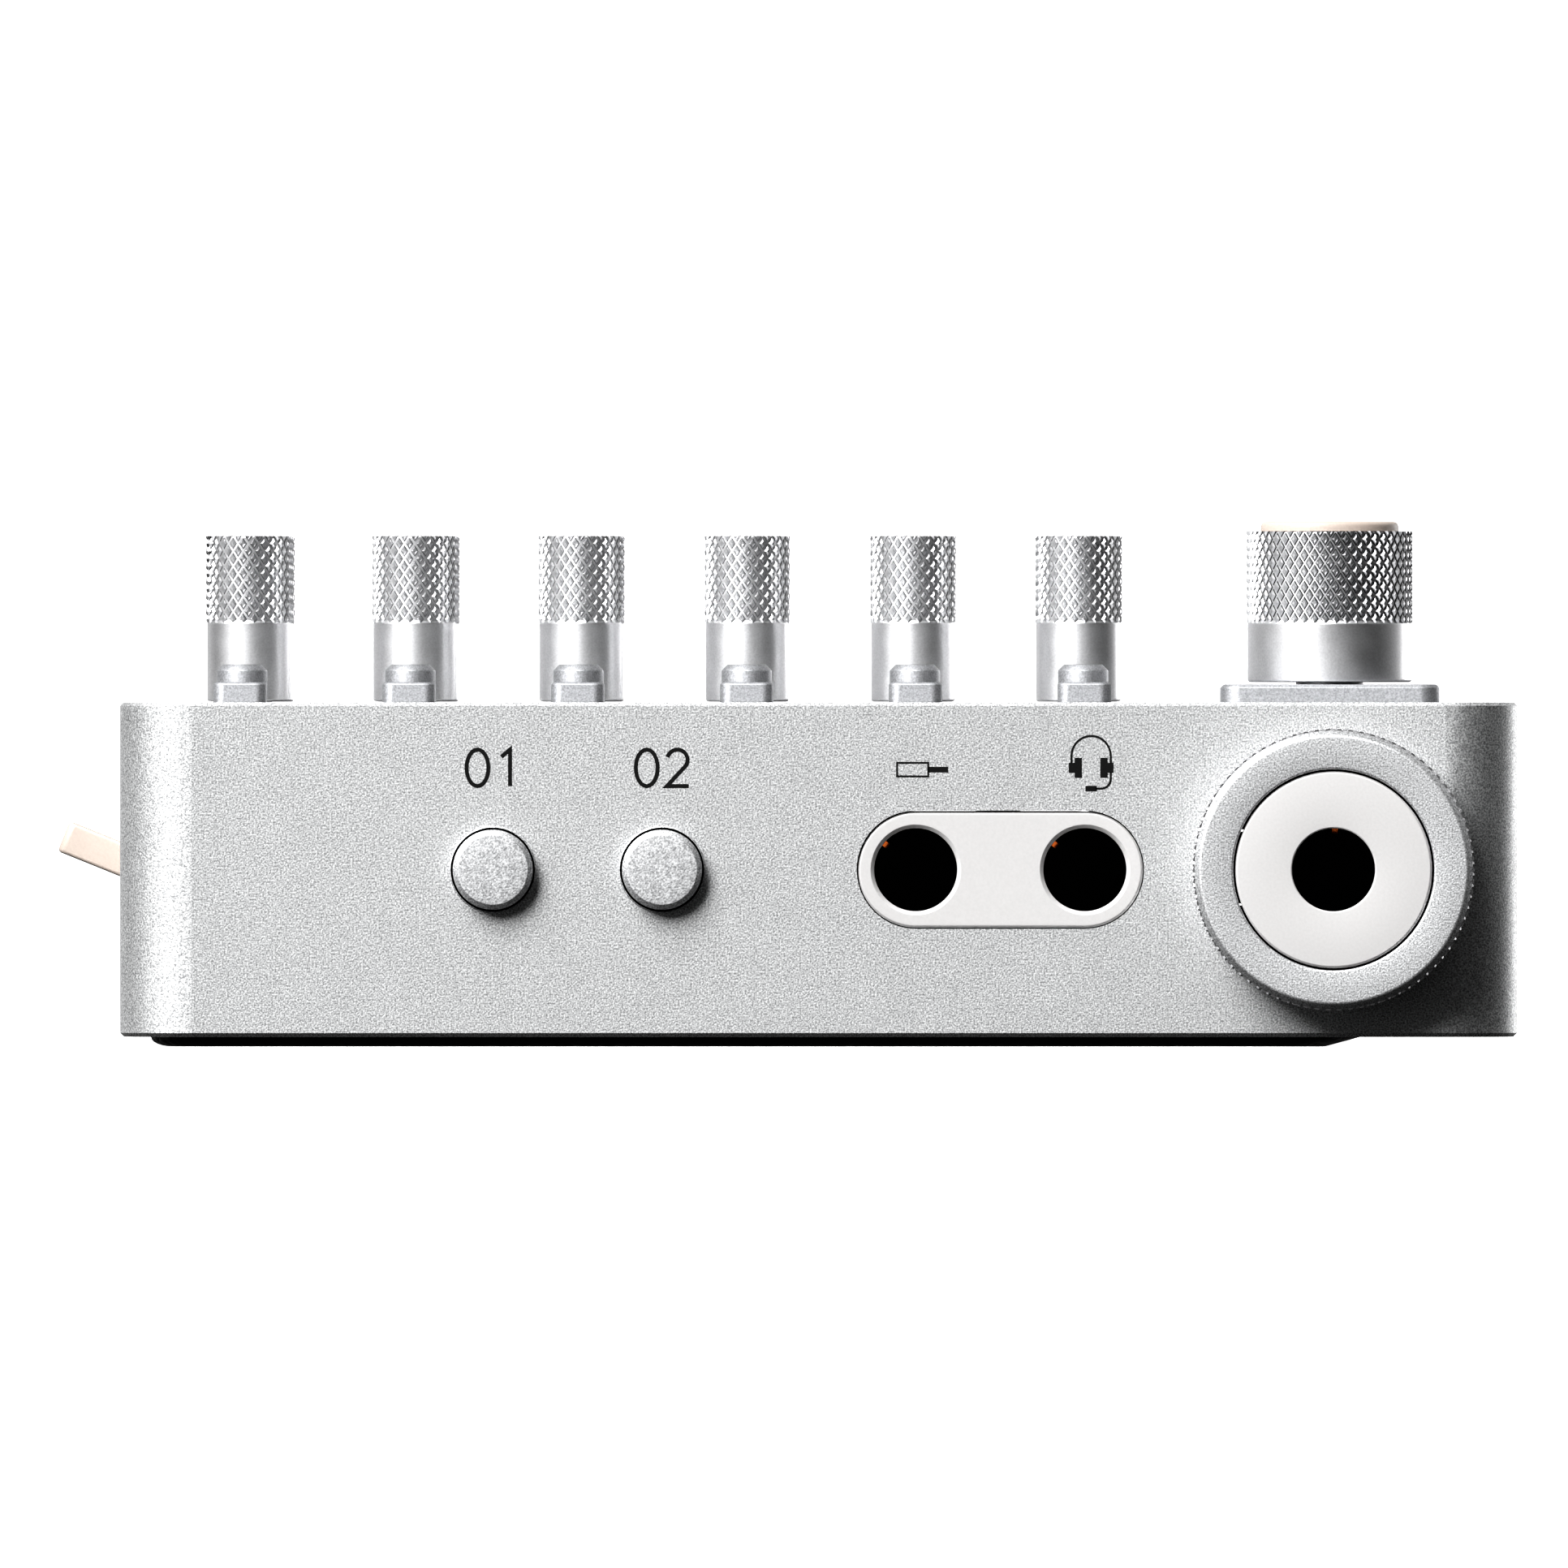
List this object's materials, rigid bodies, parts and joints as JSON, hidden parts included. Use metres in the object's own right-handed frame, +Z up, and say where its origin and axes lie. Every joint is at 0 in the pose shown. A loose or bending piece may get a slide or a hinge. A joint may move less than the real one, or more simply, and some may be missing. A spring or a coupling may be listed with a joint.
{
  "type": "dj mixer",
  "caption": "Pocket-size audio mixer in a machined aluminium case: knurled knobs and short faders on top, jacks in both ends, a turning volume ring and a side lever.",
  "frame": {"origin": "centre of the case in plan, at the underside of the sole it rests on", "axes": "+Z up from the table; -Y towards the output jacks and the user; +X to the user's right"},
  "size_m": [0.0653, 0.0932, 0.0234],
  "materials": {
    "case_aluminium": "bead-blasted, anodised natural",
    "knob_aluminium": "turned and knurled, anodised natural",
    "ring_aluminium": "turned, anodised natural",
    "button_aluminium": "satin anodised natural",
    "cap_cream": "fine matt",
    "bezel_white": "satin",
    "pad_rubber": "grained, matt",
    "screw_steel": "plain",
    "board_green": "solder mask",
    "battery_wrap": "foil wrap",
    "socket_black": "matt",
    "display_window": "gloss, dark",
    "guide_clear": "diffusing"
  },
  "bodies": {
    "case": {"housing": "case_aluminium", "bottom_plate": "case_aluminium", "base_pad": "pad_rubber", "screws": "screw_steel", "main_board": "board_green", "control_board": "board_green", "battery": "battery_wrap", "front_jack_bezel": "bezel_white", "rear_jack_bezel": "bezel_white", "jack_sockets": "socket_black", "main_output_sleeve": "bezel_white", "volume_sensor": "socket_black", "usb_socket": "screw_steel", "display_glass": "display_window", "display_panel": "socket_black", "level_light_guides": "guide_clear", "potentiometers": "socket_black", "fader_tracks": "screw_steel", "tact_switches": "socket_black", "encoder_plate": "case_aluminium", "encoder_body": "socket_black", "power_switch": "socket_black"},
    "volume_ring": {"volume_ring": "ring_aluminium"},
    "encoder_knob": {"encoder_knob": "knob_aluminium"},
    "encoder_cap": {"encoder_cap": "cap_cream"},
    "power_lever": {"power_lever": "cap_cream"},
    "fader_1": {"fader_1": "button_aluminium"},
    "fader_2": {"fader_2": "button_aluminium"},
    "fader_3": {"fader_3": "button_aluminium"},
    "fader_4": {"fader_4": "button_aluminium"},
    "fader_5": {"fader_5": "button_aluminium"},
    "fader_6": {"fader_6": "button_aluminium"},
    "channel_button_1": {"channel_button_1": "button_aluminium"},
    "channel_button_2": {"channel_button_2": "button_aluminium"},
    "channel_button_3": {"channel_button_3": "button_aluminium"},
    "channel_button_4": {"channel_button_4": "button_aluminium"},
    "channel_button_5": {"channel_button_5": "button_aluminium"},
    "channel_button_6": {"channel_button_6": "button_aluminium"},
    "function_button_1": {"function_button_1": "button_aluminium"},
    "function_button_2": {"function_button_2": "button_aluminium"},
    "aux_button": {"aux_button": "button_aluminium"},
    "cue_button": {"cue_button": "button_aluminium"},
    "knob_1_row_1": {"knob_1_row_1": "knob_aluminium"},
    "knob_2_row_1": {"knob_2_row_1": "knob_aluminium"},
    "knob_3_row_1": {"knob_3_row_1": "knob_aluminium"},
    "knob_4_row_1": {"knob_4_row_1": "knob_aluminium"},
    "knob_5_row_1": {"knob_5_row_1": "knob_aluminium"},
    "knob_6_row_1": {"knob_6_row_1": "knob_aluminium"},
    "knob_1_row_2": {"knob_1_row_2": "knob_aluminium"},
    "knob_2_row_2": {"knob_2_row_2": "knob_aluminium"},
    "knob_3_row_2": {"knob_3_row_2": "knob_aluminium"},
    "knob_4_row_2": {"knob_4_row_2": "knob_aluminium"},
    "knob_5_row_2": {"knob_5_row_2": "knob_aluminium"},
    "knob_6_row_2": {"knob_6_row_2": "knob_aluminium"},
    "knob_1_row_3": {"knob_1_row_3": "knob_aluminium"},
    "knob_2_row_3": {"knob_2_row_3": "knob_aluminium"},
    "knob_3_row_3": {"knob_3_row_3": "knob_aluminium"},
    "knob_4_row_3": {"knob_4_row_3": "knob_aluminium"},
    "knob_5_row_3": {"knob_5_row_3": "knob_aluminium"},
    "knob_6_row_3": {"knob_6_row_3": "knob_aluminium"}
  },
  "joints": [
    {"name": "volume_ring_turn", "type": "hinge", "parent": "case", "child": "volume_ring", "pos_m": [0.0228, -0.045, 0.00785], "axis": [0, 1, 0], "range_deg": [-150, 150]},
    {"name": "encoder_turn", "type": "hinge", "parent": "case", "child": "encoder_knob", "pos_m": [0.0228, -0.024, 0.01527], "axis": [0, 0, -1], "continuous": true},
    {"name": "encoder_cap_press", "type": "slide", "parent": "encoder_knob", "child": "encoder_cap", "axis": [0, 0, -1], "range_m": [0, 0.0003], "stiffness_N_per_m": 1500, "springref_m": -0.0003},
    {"name": "power_lever_tilt", "type": "hinge", "parent": "case", "child": "power_lever", "pos_m": [-0.0289, 0.014, 0.00722], "axis": [0, -1, 0], "range_deg": [0, 44]},
    {"name": "fader_1_slide", "type": "slide", "parent": "case", "child": "fader_1", "axis": [0, 1, 0], "range_m": [0, 0.024]},
    {"name": "fader_2_slide", "type": "slide", "parent": "case", "child": "fader_2", "axis": [0, 1, 0], "range_m": [0, 0.024]},
    {"name": "fader_3_slide", "type": "slide", "parent": "case", "child": "fader_3", "axis": [0, 1, 0], "range_m": [0, 0.024]},
    {"name": "fader_4_slide", "type": "slide", "parent": "case", "child": "fader_4", "axis": [0, 1, 0], "range_m": [0, 0.024]},
    {"name": "fader_5_slide", "type": "slide", "parent": "case", "child": "fader_5", "axis": [0, 1, 0], "range_m": [0, 0.024]},
    {"name": "fader_6_slide", "type": "slide", "parent": "case", "child": "fader_6", "axis": [0, 1, 0], "range_m": [0, 0.024]},
    {"name": "channel_button_1_press", "type": "slide", "parent": "case", "child": "channel_button_1", "axis": [0, 0, -1], "range_m": [0, 0.00035], "stiffness_N_per_m": 1500, "springref_m": -0.0003},
    {"name": "channel_button_2_press", "type": "slide", "parent": "case", "child": "channel_button_2", "axis": [0, 0, -1], "range_m": [0, 0.00035], "stiffness_N_per_m": 1500, "springref_m": -0.0003},
    {"name": "channel_button_3_press", "type": "slide", "parent": "case", "child": "channel_button_3", "axis": [0, 0, -1], "range_m": [0, 0.00035], "stiffness_N_per_m": 1500, "springref_m": -0.0003},
    {"name": "channel_button_4_press", "type": "slide", "parent": "case", "child": "channel_button_4", "axis": [0, 0, -1], "range_m": [0, 0.00035], "stiffness_N_per_m": 1500, "springref_m": -0.0003},
    {"name": "channel_button_5_press", "type": "slide", "parent": "case", "child": "channel_button_5", "axis": [0, 0, -1], "range_m": [0, 0.00035], "stiffness_N_per_m": 1500, "springref_m": -0.0003},
    {"name": "channel_button_6_press", "type": "slide", "parent": "case", "child": "channel_button_6", "axis": [0, 0, -1], "range_m": [0, 0.00035], "stiffness_N_per_m": 1500, "springref_m": -0.0003},
    {"name": "function_button_1_press", "type": "slide", "parent": "case", "child": "function_button_1", "axis": [0, 0, -1], "range_m": [0, 0.00035], "stiffness_N_per_m": 1500, "springref_m": -0.0003},
    {"name": "function_button_2_press", "type": "slide", "parent": "case", "child": "function_button_2", "axis": [0, 0, -1], "range_m": [0, 0.00035], "stiffness_N_per_m": 1500, "springref_m": -0.0003},
    {"name": "aux_button_press", "type": "slide", "parent": "case", "child": "aux_button", "axis": [0, 1, 0], "range_m": [0, 0.0004], "stiffness_N_per_m": 1500, "springref_m": -0.0003},
    {"name": "cue_button_press", "type": "slide", "parent": "case", "child": "cue_button", "axis": [0, 1, 0], "range_m": [0, 0.0004], "stiffness_N_per_m": 1500, "springref_m": -0.0003},
    {"name": "knob_1_row_1_turn", "type": "hinge", "parent": "case", "child": "knob_1_row_1", "pos_m": [-0.0257, 0.0375, 0.01527], "axis": [0, 0, -1], "range_deg": [-150, 150]},
    {"name": "knob_2_row_1_turn", "type": "hinge", "parent": "case", "child": "knob_2_row_1", "pos_m": [-0.0182, 0.0375, 0.01527], "axis": [0, 0, -1], "range_deg": [-150, 150]},
    {"name": "knob_3_row_1_turn", "type": "hinge", "parent": "case", "child": "knob_3_row_1", "pos_m": [-0.0107, 0.0375, 0.01527], "axis": [0, 0, -1], "range_deg": [-150, 150]},
    {"name": "knob_4_row_1_turn", "type": "hinge", "parent": "case", "child": "knob_4_row_1", "pos_m": [-0.0032, 0.0375, 0.01527], "axis": [0, 0, -1], "range_deg": [-150, 150]},
    {"name": "knob_5_row_1_turn", "type": "hinge", "parent": "case", "child": "knob_5_row_1", "pos_m": [0.0043, 0.0375, 0.01527], "axis": [0, 0, -1], "range_deg": [-150, 150]},
    {"name": "knob_6_row_1_turn", "type": "hinge", "parent": "case", "child": "knob_6_row_1", "pos_m": [0.0118, 0.0375, 0.01527], "axis": [0, 0, -1], "range_deg": [-150, 150]},
    {"name": "knob_1_row_2_turn", "type": "hinge", "parent": "case", "child": "knob_1_row_2", "pos_m": [-0.0257, 0.0255, 0.01527], "axis": [0, 0, -1], "range_deg": [-150, 150]},
    {"name": "knob_2_row_2_turn", "type": "hinge", "parent": "case", "child": "knob_2_row_2", "pos_m": [-0.0182, 0.0255, 0.01527], "axis": [0, 0, -1], "range_deg": [-150, 150]},
    {"name": "knob_3_row_2_turn", "type": "hinge", "parent": "case", "child": "knob_3_row_2", "pos_m": [-0.0107, 0.0255, 0.01527], "axis": [0, 0, -1], "range_deg": [-150, 150]},
    {"name": "knob_4_row_2_turn", "type": "hinge", "parent": "case", "child": "knob_4_row_2", "pos_m": [-0.0032, 0.0255, 0.01527], "axis": [0, 0, -1], "range_deg": [-150, 150]},
    {"name": "knob_5_row_2_turn", "type": "hinge", "parent": "case", "child": "knob_5_row_2", "pos_m": [0.0043, 0.0255, 0.01527], "axis": [0, 0, -1], "range_deg": [-150, 150]},
    {"name": "knob_6_row_2_turn", "type": "hinge", "parent": "case", "child": "knob_6_row_2", "pos_m": [0.0118, 0.0255, 0.01527], "axis": [0, 0, -1], "range_deg": [-150, 150]},
    {"name": "knob_1_row_3_turn", "type": "hinge", "parent": "case", "child": "knob_1_row_3", "pos_m": [-0.0257, 0.0135, 0.01527], "axis": [0, 0, -1], "range_deg": [-150, 150]},
    {"name": "knob_2_row_3_turn", "type": "hinge", "parent": "case", "child": "knob_2_row_3", "pos_m": [-0.0182, 0.0135, 0.01527], "axis": [0, 0, -1], "range_deg": [-150, 150]},
    {"name": "knob_3_row_3_turn", "type": "hinge", "parent": "case", "child": "knob_3_row_3", "pos_m": [-0.0107, 0.0135, 0.01527], "axis": [0, 0, -1], "range_deg": [-150, 150]},
    {"name": "knob_4_row_3_turn", "type": "hinge", "parent": "case", "child": "knob_4_row_3", "pos_m": [-0.0032, 0.0135, 0.01527], "axis": [0, 0, -1], "range_deg": [-150, 150]},
    {"name": "knob_5_row_3_turn", "type": "hinge", "parent": "case", "child": "knob_5_row_3", "pos_m": [0.0043, 0.0135, 0.01527], "axis": [0, 0, -1], "range_deg": [-150, 150]},
    {"name": "knob_6_row_3_turn", "type": "hinge", "parent": "case", "child": "knob_6_row_3", "pos_m": [0.0118, 0.0135, 0.01527], "axis": [0, 0, -1], "range_deg": [-150, 150]}
  ]
}
